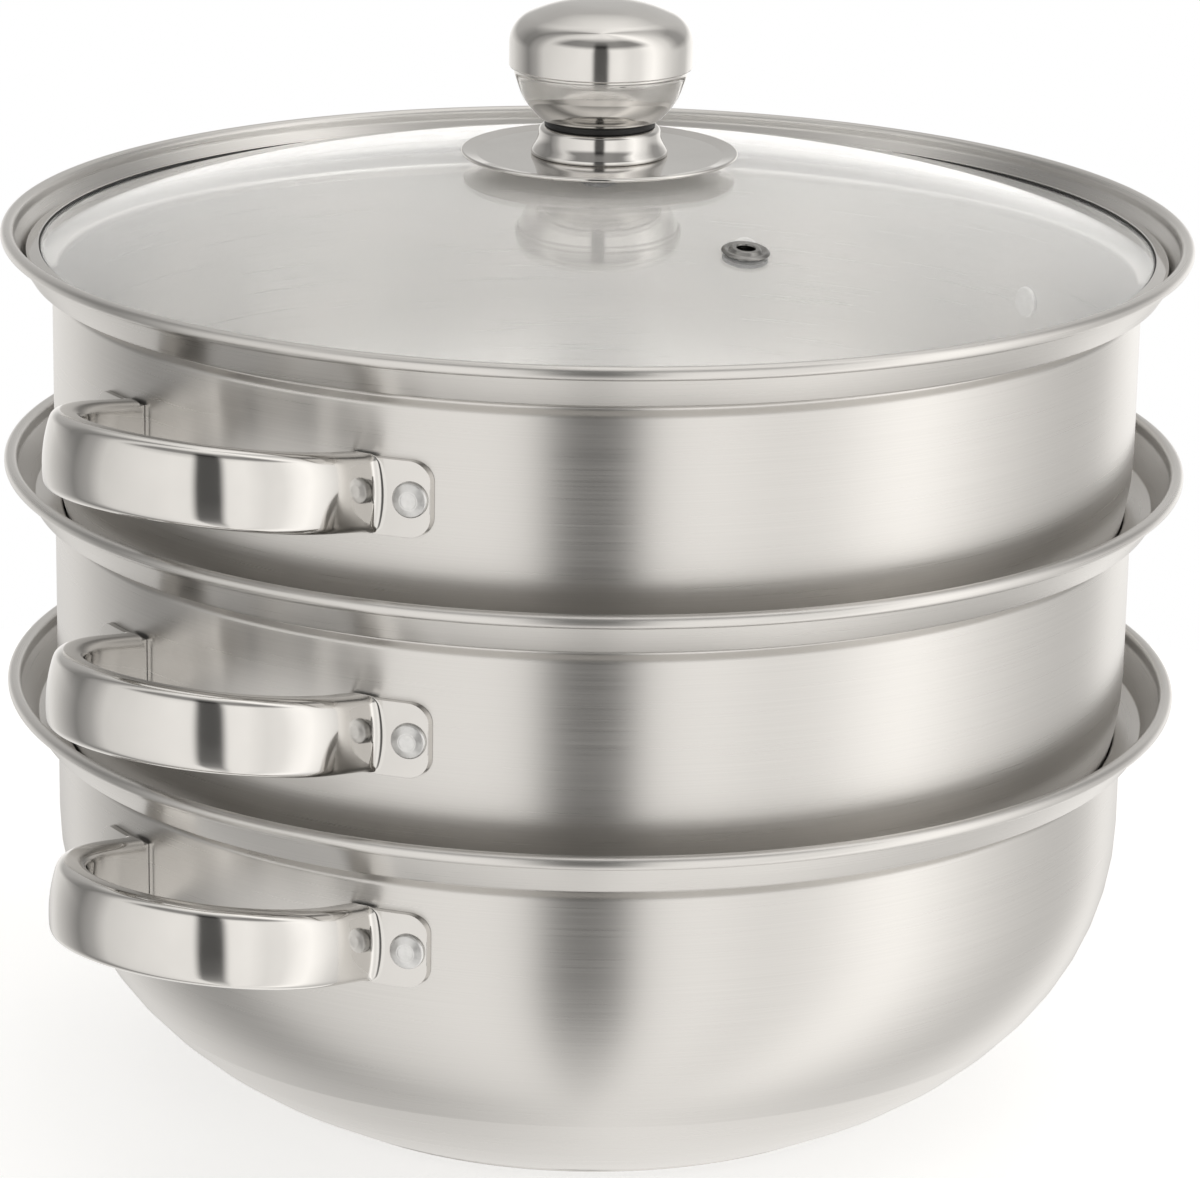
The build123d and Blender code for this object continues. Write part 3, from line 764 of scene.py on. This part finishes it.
def make_rivets(body):
    """Four rivets with low domed heads outside and flat tails inside."""
    seat = TAB_RADIUS
    tail_seat = math.sqrt((BODY_RADIUS - SHEET) ** 2 - RIVET_TAIL_RADIUS**2) - GAP
    top = seat + RIVET_HEAD_HEIGHT
    # Radii and distances from the vessel's axis, from the tail's end out to the head's middle
    line = [
        (0, tail_seat - RIVET_TAIL_HEIGHT),
        (RIVET_TAIL_RADIUS, tail_seat - RIVET_TAIL_HEIGHT),
        (RIVET_TAIL_RADIUS, tail_seat),
        (RIVET_SHANK_RADIUS, tail_seat),
        (RIVET_SHANK_RADIUS, seat),
        (RIVET_HEAD_RADIUS, seat),
        (RIVET_HEAD_RADIUS - RIVET_SIDE_LEAN, seat + RIVET_SIDE_HEIGHT),
        (RIVET_HEAD_RADIUS * RIVET_DOME_SHARE, top),
        (RIVET_HEAD_RADIUS * RIVET_DIMPLE_SHARE, top - RIVET_DIMPLE_DEPTH),
        (0, top - RIVET_DIMPLE_DEPTH),
    ]
    outline = bent_line([Vector(place) for place in line], RIVET_BENDS)
    vertices, faces = turned_mesh(outline, RIVET_AROUND, closed=False)
    offset = math.asin(RIVET_HALF_SPAN / BODY_RADIUS)
    all_vertices = []
    all_faces = []
    for base in (0, math.pi):
        for sign in (1, -1):
            angle = base + sign * offset
            outward = Vector((math.cos(angle), math.sin(angle), 0))
            aside = Vector((-math.sin(angle), math.cos(angle), 0))
            start = len(all_vertices)
            for x, y, z in vertices:
                place = outward * z + aside * x + Vector((0, 0, y + HANDLE_HEIGHTS[body]))
                all_vertices.append(tuple(place))
            all_faces += [[v + start for v in face] for face in faces]
    piece = new_piece(body + "_rivets_headed", body, all_vertices, all_faces, RIVET)
    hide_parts(body + "_rivets")


# Lid

TOP = RIM_HEIGHTS["top_tray"]
APEX = 15.9
GLASS_EDGE = 144.4
GLASS_RISE = 21.6
GLASS_THICKNESS = 3.0
DOME_RADIUS = (GLASS_EDGE**2 + GLASS_RISE**2) / (2 * GLASS_RISE)
GLASS_HOLE = 4.0
GLASS_BEVEL = 0.6
GLASS_BEVEL_BULGE = 0.3
GLASS_STEPS = 40
GLASS_AROUND = 256
GASKET = 0.3
GASKET_INNER = 142.9
GASKET_BENDS = [0.35, 0.35]
BAND = 0.5
BAND_RADIUS = 146.8
BAND_INNER = 143.3
BAND_FOOT = 145.0
BAND_BENDS = [0.6, 0.6]


def dome_height(radius, depth=0.0):
    """Height over the top rim of a point in the glass, at a depth below its upper face."""
    return APEX - DOME_RADIUS + math.sqrt((DOME_RADIUS - depth) ** 2 - radius**2)


def make_glass():
    """Dome of the lid with its centre hole, ground edge and vent hole."""
    radii = [
        GLASS_HOLE + (GLASS_EDGE - GLASS_HOLE) * step / GLASS_STEPS
        for step in range(GLASS_STEPS + 1)
    ]
    upper = [Vector((radius, dome_height(radius))) for radius in radii]
    lower = [Vector((radius, dome_height(radius, GLASS_THICKNESS))) for radius in radii]
    ground = []
    for face, other in ((upper, lower), (lower, upper)):
        end = face[-1]
        back = (face[-2] - end).normalized() * GLASS_BEVEL
        across = (other[-1] - end).normalized() * GLASS_BEVEL
        ground.append([end + back, end + (back + across) * GLASS_BEVEL_BULGE, end + across])
    outline = upper[:-1] + ground[0] + ground[1][::-1] + lower[:-1][::-1]
    glass = turned_piece("lid_glass_pressed", "lid", outline, TOP, GLASS, GLASS_AROUND)
    cut_vent_hole(glass)
    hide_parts("lid_glass")


VENT_DISTANCE = 81.2
VENT_DIRECTION = math.radians(244.0)
VENT_HOLE = 3.0
VENT_AROUND = 72
# The tool that cuts the vent's hole: from how far under the glass's face to how far over it
CUTTER_REACH = (-6, 4)
CUTTER_AROUND = 48


def vent_matrix():
    """Place of the steam vent on the upper face of the glass, with Z straight out of it."""
    place = Vector((math.cos(VENT_DIRECTION), math.sin(VENT_DIRECTION), 0)) * VENT_DISTANCE
    place.z = TOP + dome_height(VENT_DISTANCE)
    outward = place - Vector((0, 0, TOP + APEX - DOME_RADIUS))
    turn = outward.to_track_quat("Z", "Y").to_matrix().to_4x4()
    return Matrix.Translation(place) @ turn


def cut_vent_hole(glass):
    """Cuts the vent's hole through the glass and applies the cut."""
    low, high = CUTTER_REACH
    line = [(0, low), (VENT_HOLE, low), (VENT_HOLE, high), (0, high)]
    outline = [Vector(place) for place in line]
    vertices, faces = turned_mesh(outline, CUTTER_AROUND, closed=False)
    placed = [tuple((vent_matrix() @ Vector(v)) * MM) for v in vertices]
    mesh = bpy.data.meshes.new("vent_cutter")
    mesh.from_pydata(placed, [], faces)
    cutter = new_object("vent_cutter", mesh)
    cut = glass.modifiers.new("vent", "BOOLEAN")
    cut.object = cutter
    cut.solver = "EXACT"
    bpy.context.view_layer.update()
    graph = bpy.context.evaluated_depsgraph_get()
    carved = bpy.data.meshes.new_from_object(glass.evaluated_get(graph))
    glass.modifiers.clear()
    glass.data = carved
    carved.set_sharp_from_angle(angle=math.radians(SHARP_ANGLE))
    bpy.data.objects.remove(cutter)


def beside_glass(radius, depth, distance):
    """Place beside a face of the glass, at a distance out from it."""
    return (radius, dome_height(radius, depth) + distance)


def make_gasket():
    """The gasket, folded round the edge of the glass."""
    away = GAP + GASKET / 2
    edge = GLASS_EDGE + away
    line = [
        beside_glass(GASKET_INNER, 0, away),
        beside_glass(edge, 0, away),
        beside_glass(edge, GLASS_THICKNESS, -away),
        beside_glass(GASKET_INNER, GLASS_THICKNESS, -away),
    ]
    outline = sheet_outline(line, GASKET_BENDS, GASKET)
    piece = turned_piece("lid_rim_gasket_moulded", "lid", outline, TOP, SILICONE)
    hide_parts("lid_rim_gasket")


def ledge_height(radius):
    """Height of the upper face of a vessel's ledge, at a radius."""
    foot, bead = rim_line()[-3:-1]
    slope = (foot[1] - bead[1]) / (foot[0] - bead[0])
    return foot[1] + (radius - foot[0]) * slope + HALF_SHEET * math.hypot(1, slope)


def make_band():
    """The steel band, folded round the gasket and standing on the top tray's ledge."""
    away = 2 * GAP + GASKET + BAND / 2
    foot = ledge_height(BAND_FOOT) + SEAT_GAP + BAND / 2
    rise = dome_height(BAND_INNER) - dome_height(BAND_FOOT)
    line = [
        beside_glass(BAND_INNER, 0, away),
        beside_glass(BAND_RADIUS - BAND / 2, 0, away),
        (BAND_FOOT, foot),
        (BAND_INNER, foot + rise),
    ]
    outline = sheet_outline(line, BAND_BENDS, BAND)
    piece = turned_piece("lid_rim_band_folded", "lid", outline, TOP, POLISHED)
    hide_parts("lid_rim_band")


EYELET = 0.4
EYELET_BORE = 2.25
EYELET_RADIUS = 6.15
EYELET_HEIGHT = 1.5
EYELET_TAIL_RADIUS = 4.6
# Radius and height of the valley round the nozzle, of the brim's top and of the brim's edge
EYELET_VALLEY = (4.2, 0.6)
EYELET_BRIM = (5.2, 1.1)
EYELET_EDGE_HEIGHT = 0.5
EYELET_BENDS = [0.35] * 5
VENT_SEAL_RADIUS = 5.6
VENT_SEAL = 0.8
VENT_SEAL_BENDS = [0.2] * 4


def placed_at_vent(name, outline, material, node):
    """A piece turned about the vent's own axis."""
    vertices, faces = turned_mesh(outline, VENT_AROUND)
    placed = [tuple(vent_matrix() @ Vector(v)) for v in vertices]
    piece = new_piece(name, "lid", placed, faces, material)
    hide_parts(node)


def make_vent():
    """The steam vent: its pressed eyelet and the seal ring under the glass."""
    half = EYELET / 2
    bore = EYELET_BORE + half
    tail = -GLASS_THICKNESS - VENT_SEAL - 2 * GAP - half
    top = EYELET_HEIGHT - half
    valley, valley_height = EYELET_VALLEY
    brim, brim_height = EYELET_BRIM
    line = [
        (EYELET_TAIL_RADIUS, tail),
        (bore, tail),
        (bore, top),
        ((bore + valley) / 2, top),
        (valley, valley_height - half),
        (brim, brim_height - half),
        (EYELET_RADIUS - half, EYELET_EDGE_HEIGHT - half),
    ]
    outline = sheet_outline(line, EYELET_BENDS, EYELET)
    placed_at_vent(
        "vent_eyelet_pressed", outline, EYELET_STEEL, "vent_eyelet"
    )
    low = -GLASS_THICKNESS - VENT_SEAL - GAP
    seal = ring_outline(VENT_HOLE, VENT_SEAL_RADIUS, low, low + VENT_SEAL, VENT_SEAL_BENDS)
    placed_at_vent("vent_seal_moulded", seal, SILICONE, "vent_seal")


# Knob

KNOB_SHEET = 1.0
HALF_KNOB = KNOB_SHEET / 2
SCREW_HOLE = 2.6
CUSHION = 1.2
KNOB_AROUND = 192
# Outer radii of the knob's pieces, heights over each piece's own bottom, and bends
SKIRT_BOTTOM = APEX + CUSHION
SKIRT_RADIUS = 35.5
SKIRT_LIP = 4.0
SKIRT_LIP_RISE = 0.9
SKIRT_BENDS = [3.0]
NECK_BOTTOM = SKIRT_BOTTOM + KNOB_SHEET
NECK_HEIGHT = 7.3
NECK_FOOT = (17.6, 0.8)
NECK_WAIST = (15.9, 3.4)
NECK_TOP_RADIUS = 15.5
NECK_BENDS = [1.0, 7.0, 1.0]
SPACER_BOTTOM = NECK_BOTTOM + NECK_HEIGHT
SPACER_HEIGHT = 1.6
SPACER_RADIUS = 14.2
SPACER_BENDS = [0, 0.3, 0.3, 0]
BOWL_BOTTOM = SPACER_BOTTOM + SPACER_HEIGHT
BOWL_FLAT_RADIUS = 15.4
BOWL_SHOULDER = (19.7, 5.0)
BOWL_BRIM_RADIUS = 22.3
BOWL_BRIM_HEIGHTS = (12.4, 16.6)
BOWL_BENDS = [2.0, 14.0, 5.0]
# The cap's heights are over the bottom of the bowl that it closes
CAP_RADIUS = 23.5
CAP_WALL_HEIGHTS = (13.6, 24.6)
CAP_CROWN = (11.0, 30.0)
CAP_BENDS = [7.5, 26.0]


def knob_sheet(node, line, bends):
    """A turned sheet piece of the knob."""
    outline = sheet_outline(line, bends, KNOB_SHEET)
    piece = turned_piece(node + "_turned", "lid", outline, TOP, POLISHED, KNOB_AROUND)
    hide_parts(node)


def make_knob():
    """The knob, a stack from its skirt on the glass up to its cap."""
    middle = SKIRT_BOTTOM + HALF_KNOB
    skirt = [
        (SCREW_HOLE, middle),
        (SKIRT_RADIUS - SKIRT_LIP, middle),
        (SKIRT_RADIUS, middle + SKIRT_LIP_RISE),
    ]
    knob_sheet("knob_skirt", skirt, SKIRT_BENDS)
    foot, foot_height = NECK_FOOT
    waist, waist_height = NECK_WAIST
    neck_top = SPACER_BOTTOM - HALF_KNOB
    neck = [
        (foot - HALF_KNOB, NECK_BOTTOM),
        (foot - HALF_KNOB, NECK_BOTTOM + foot_height),
        (waist - HALF_KNOB, NECK_BOTTOM + waist_height),
        (NECK_TOP_RADIUS - HALF_KNOB, neck_top),
        (SCREW_HOLE, neck_top),
    ]
    knob_sheet("knob_neck", neck, NECK_BENDS)
    outline = ring_outline(
        SCREW_HOLE, SPACER_RADIUS, SPACER_BOTTOM, SPACER_BOTTOM + SPACER_HEIGHT, SPACER_BENDS
    )
    spacer = turned_piece("knob_spacer_round", "lid", outline, TOP, BLACK, KNOB_AROUND)
    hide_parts("knob_spacer")
    middle = BOWL_BOTTOM + HALF_KNOB
    shoulder, shoulder_height = BOWL_SHOULDER
    brim = BOWL_BRIM_RADIUS - HALF_KNOB
    bowl = [
        (SCREW_HOLE, middle),
        (BOWL_FLAT_RADIUS - HALF_KNOB, middle),
        (shoulder - HALF_KNOB, BOWL_BOTTOM + shoulder_height),
        *[(brim, BOWL_BOTTOM + height) for height in BOWL_BRIM_HEIGHTS],
    ]
    knob_sheet("knob_bowl", bowl, BOWL_BENDS)
    crown, crown_height = CAP_CROWN
    top = BOWL_BOTTOM + crown_height - HALF_KNOB
    cap = [(CAP_RADIUS - HALF_KNOB, BOWL_BOTTOM + height) for height in CAP_WALL_HEIGHTS]
    knob_sheet("knob_cap", cap + [(crown, top), (0, top)], CAP_BENDS)


for vessel in RIM_HEIGHTS:
    if vessel == "pot":
        make_pot_shell()
    else:
        make_tray_shell(vessel)
    make_handle(vessel, "left")
    make_handle(vessel, "right")
    make_rivets(vessel)
make_glass()
make_gasket()
make_band()
make_vent()
make_knob()

# The CAD pieces whose shape is right get their finish alone
for node, material in (
    ("base_cap", SATIN),
    ("base_core", ALUMINIUM),
    ("cushion_washer", SILICONE),
    ("seal_washer", SILICONE),
    ("screw_washer", ZINC),
    ("knob_insert", ZINC),
    ("knob_screw", ZINC),
):
    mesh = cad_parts[node].data
    mesh.materials.clear()
    mesh.materials.append(material)


# Camera, floor and light

def make_camera():
    """The photo's camera, set up before the pot and then moved round it."""
    rise = math.radians(CAMERA_ELEVATION)
    place = Vector((0, -math.cos(rise), math.sin(rise))) * CAMERA_DISTANCE
    ahead = -place.normalized()
    right = Vector((1, 0, 0))
    up = right.cross(ahead)
    axes = Matrix((right, -up, ahead))
    axes = Matrix.Rotation(math.radians(CAMERA_YAW), 3, "Y") @ axes
    axes = Matrix.Rotation(math.radians(CAMERA_PITCH), 3, "X") @ axes
    axes = Matrix.Rotation(math.radians(CAMERA_ROLL), 3, "Z") @ axes
    columns = Matrix((axes[0], -axes[1], -axes[2])).transposed()
    turn = Matrix.Rotation(math.radians(CAMERA_ROUND), 3, "Z")
    data = bpy.data.cameras.new("camera")
    data.lens = CAMERA_LENS
    data.sensor_width = SENSOR_WIDTH
    data.clip_end = CLIP_END
    camera = new_object("camera", data)
    centre = Vector((0, 0, RIM_HEIGHTS["top_tray"]))
    matrix = (turn @ columns).to_4x4()
    matrix.translation = (turn @ place + centre) * MM
    camera.matrix_world = matrix
    bpy.context.scene.camera = camera


FLOOR_GLOW = 0.5
FLOOR_RADIUS = 420.0
FLOOR_AROUND = 96
FLOOR_GAP = 0.05


def make_floor():
    """A round pale table top, a little self lit so that it stays pale under the pot."""
    material = finish(
        "pale_floor", blotches(size=330, detail=2.0), tints=("#f2f2f1", "#f5f5f4"),
        roughness=(0.9, 0.9),
        constants=[("Specular IOR Level", 0.0), ("Emission Color", colour("#ffffff")),
                   ("Emission Strength", FLOOR_GLOW)],
    )
    outline = [Vector((0, 0)), Vector((FLOOR_RADIUS, 0))]
    vertices, faces = turned_mesh(outline, FLOOR_AROUND, closed=False)
    floor = new_object("floor", new_mesh("floor", vertices, faces, material))
    floor.location.z = -FLOOR_GAP * MM
    floor.visible_glossy = False


# Brightness of the studio round the pot: turn from the camera's side in degrees, and level
ROUND_LIGHT = [
    (-180, 1.1), (-160, 1.0), (-140, 0.9), (-122, 0.62), (-103, 0.3), (-88, 0.5), (-76, 0.86),
    (-58, 0.97), (-25, 1.12), (0, 1.1), (25, 1.2), (38, 1.05), (50, 1.1), (60, 1.34), (70, 1.48),
    (79, 1.3), (90, 1.05), (104, 0.84), (118, 0.72), (130, 0.74), (142, 1.1), (155, 1.25),
    (168, 1.2), (180, 1.1),
]
# Dark gap between the two front panels: half width and softness in degrees, and the light that
# is left at the sine of a few elevations
FRONT_GAP = (9.5, 2.5)
FRONT_GAP_LEFT = [(-1.0, 0.8), (-0.75, 0.45), (-0.4, 0.15), (-0.15, 0.1), (0.6, 0.1), (0.85, 1.0)]
# Dim fields: share of light left in them, then their extent along the line to the camera and by
# the sine of the elevation, as places and levels
DIM_FIELDS = {
    "ceiling over the camera": (
        0.3, [(0.25, 0), (0.45, 1), (0.85, 1), (1.0, 0)], [(0.4, 0), (0.6, 1), (0.8, 1), (1.0, 0)]
    ),
    "back wall over the horizon": (
        0.55, [(-0.4, 1), (-0.1, 0)], [(-0.05, 0), (0.15, 1), (0.6, 1), (0.85, 0)]
    ),
    "back floor": (
        0.5, [(-0.92, 1), (-0.8, 0)], [(-0.81, 0), (-0.69, 1), (-0.36, 1), (-0.24, 0)]
    ),
}
# Share of light added for what is seen through the glass, which else shows too dark
THROUGH_GLASS = 1.0
# A colour ramp ends at one, so the light is divided by this in it and multiplied after it
RAMP_TOP = 2.0
BACKDROP = 1.0
STUDIO_TINT = "#fffdfa"
BACKDROP_TINT = "#ffffff"


def levels(places, low=-1.0, high=1.0, top=1.0):
    """Colour ramp stops of levels at places, where the ramp spans a range and ends at a top."""
    return [((place - low) / (high - low), (*[level / top] * 3, 1)) for place, level in places]


def changed(tree, light, mask, share):
    """Light that gains a share of itself, or loses it below zero, as far as a mask goes."""
    factor = add_node(
        tree, "ShaderNodeMath", [(0, mask), (1, share), (2, 1.0)], operation="MULTIPLY_ADD"
    )
    after = add_node(
        tree, "ShaderNodeMath", [(0, light), (1, factor.outputs[0])], operation="MULTIPLY"
    )
    return after.outputs[0]


def make_light():
    """Studio light: soft panels round the pot, dimmer overhead, and a white backdrop."""
    world = bpy.data.worlds.new("studio")
    bpy.context.scene.world = world
    world.use_nodes = True
    tree = world.node_tree
    tree.nodes.clear()
    # The first axis is turned to point to the camera and the third is up. Halved, they run from
    # 0 to 1, as colour ramps need.
    direction = add_node(tree, "ShaderNodeTexCoord").outputs["Generated"]
    turn = (0, 0, math.radians(90 - CAMERA_ROUND))
    mapping = add_node(tree, "ShaderNodeMapping", [("Vector", direction), ("Rotation", turn)])
    turned = mapping.outputs[0]
    around = add_node(tree, "ShaderNodeTexGradient", [(0, turned)], gradient_type="RADIAL")
    angle = around.outputs["Fac"]
    half = (0.5, 0.5, 0.5)
    halved = add_node(
        tree, "ShaderNodeMapping", [("Vector", turned), ("Location", half), ("Scale", half)]
    )
    parts = add_node(tree, "ShaderNodeSeparateXYZ", [(0, halved.outputs[0])])
    ahead, up = parts.outputs["X"], parts.outputs["Z"]

    panels = levels(ROUND_LIGHT, -180, 180, RAMP_TOP)
    light = add_node(tree, "ShaderNodeValToRGB", [("Fac", angle)], panels).outputs[0]
    reach, soft = FRONT_GAP
    edges = [(-reach - soft, 0), (-reach + soft, 1), (reach - soft, 1), (reach + soft, 0)]
    gap = add_node(tree, "ShaderNodeValToRGB", [("Fac", angle)], levels(edges, -180, 180))
    left = add_node(tree, "ShaderNodeValToRGB", [("Fac", up)], levels(FRONT_GAP_LEFT))
    lost = add_node(
        tree, "ShaderNodeMath", [(0, left.outputs[0]), (1, 1.0)], operation="SUBTRACT"
    )
    light = changed(tree, light, gap.outputs[0], lost.outputs[0])
    for share, along, upright in DIM_FIELDS.values():
        masks = [
            add_node(tree, "ShaderNodeValToRGB", [("Fac", value)], levels(places)).outputs[0]
            for value, places in ((ahead, along), (up, upright))
        ]
        field = add_node(tree, "ShaderNodeMath", enumerate(masks), operation="MULTIPLY")
        light = changed(tree, light, field.outputs[0], share - 1)
    path = add_node(tree, "ShaderNodeLightPath").outputs
    through = add_node(
        tree, "ShaderNodeMath", [(0, path["Transmission Depth"]), (1, 0.5)],
        operation="GREATER_THAN",
    )
    light = changed(tree, light, through.outputs[0], THROUGH_GLASS)
    strength = add_node(
        tree, "ShaderNodeMath", [(0, light), (1, RAMP_TOP)], operation="MULTIPLY"
    )
    studio = add_node(
        tree, "ShaderNodeBackground",
        [("Strength", strength.outputs[0]), ("Color", colour(STUDIO_TINT))],
    )
    backdrop = add_node(
        tree, "ShaderNodeBackground", [("Strength", BACKDROP), ("Color", colour(BACKDROP_TINT))]
    )
    mixed = add_node(
        tree, "ShaderNodeMixShader",
        [(0, path["Is Camera Ray"]), (1, studio.outputs[0]), (2, backdrop.outputs[0])],
    )
    add_node(tree, "ShaderNodeOutputWorld", [("Surface", mixed.outputs[0])])
    scene = bpy.context.scene
    scene.view_settings.view_transform = "Standard"
    scene.view_settings.look = "None"


make_camera()
make_floor()
make_light()
